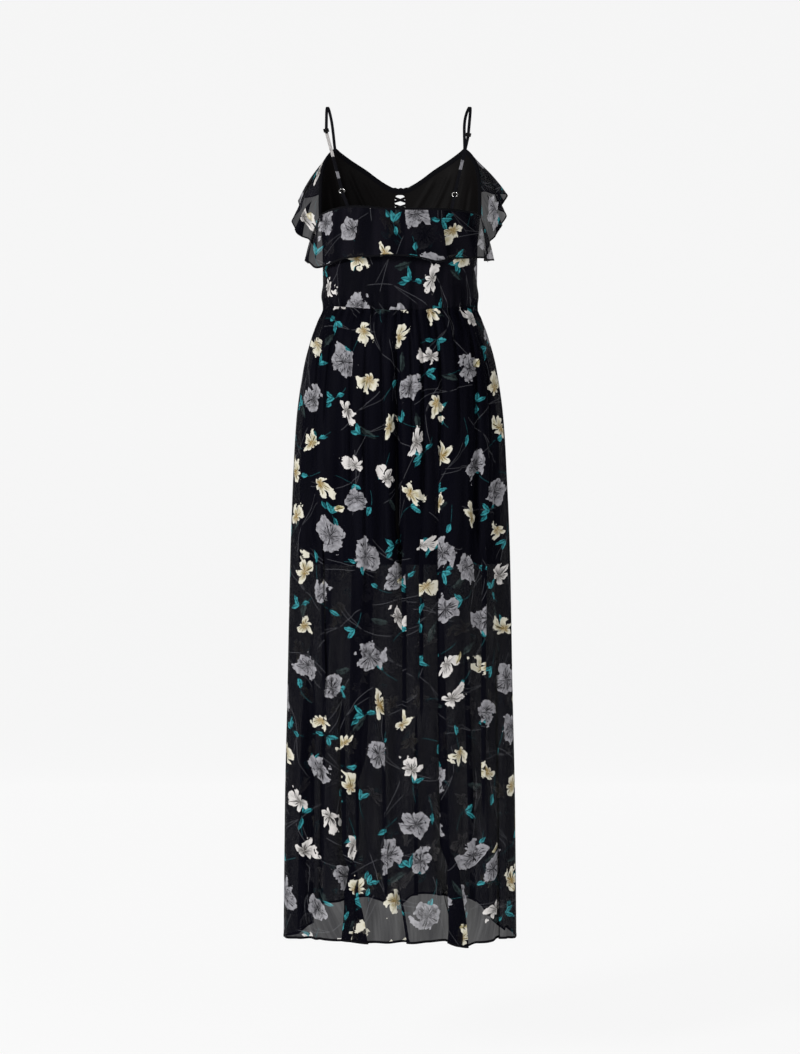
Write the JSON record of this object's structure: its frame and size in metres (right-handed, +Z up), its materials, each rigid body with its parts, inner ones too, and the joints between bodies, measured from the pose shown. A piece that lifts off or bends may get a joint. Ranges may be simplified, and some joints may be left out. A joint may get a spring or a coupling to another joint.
{
  "type": "sleeveless camisole maxi dress",
  "caption": "Floor-length camisole dress in sheer floral chiffon: flounced bodice, gathered elastic waist, adjustable shoulder straps, short opaque slip.",
  "frame": {"origin": "midway between the tops of the two shoulder straps, where the wearer's shoulders hold the dress", "axes": "+Z up along the body; +Y towards the wearer's front, so the back of the dress faces -Y; +X towards the wearer's right"},
  "size_m": [0.3899, 0.3186, 1.3985],
  "materials": {
    "printed_chiffon": "sheer matt crepe chiffon, black with scattered pale flowers and teal leaves",
    "black_lining": "opaque soft knit lining, matt",
    "black_cord": "soft rolled cloth cord",
    "pale_metal": "polished pale metal",
    "dark_metal": "black enamelled metal"
  },
  "bodies": {
    "root": {"bodice_back": "printed_chiffon", "bodice_front": "printed_chiffon", "waist_casing_back": "printed_chiffon", "waist_casing_front": "printed_chiffon", "skirt_back": "printed_chiffon", "skirt_front": "printed_chiffon", "flounce_back": "printed_chiffon", "flounce_front_left": "printed_chiffon", "flounce_front_right": "printed_chiffon", "strap_left": "printed_chiffon", "strap_right": "printed_chiffon", "ring_loop_left": "printed_chiffon", "ring_loop_right": "printed_chiffon", "lining_bodice_back": "black_lining", "lining_bodice_front": "black_lining", "slip_back": "black_lining", "slip_front": "black_lining", "lace_a": "black_cord", "lace_b": "black_cord", "ring_left": "pale_metal", "ring_right": "pale_metal", "slider_left": "dark_metal", "slider_right": "dark_metal"}
  },
  "joints": []
}
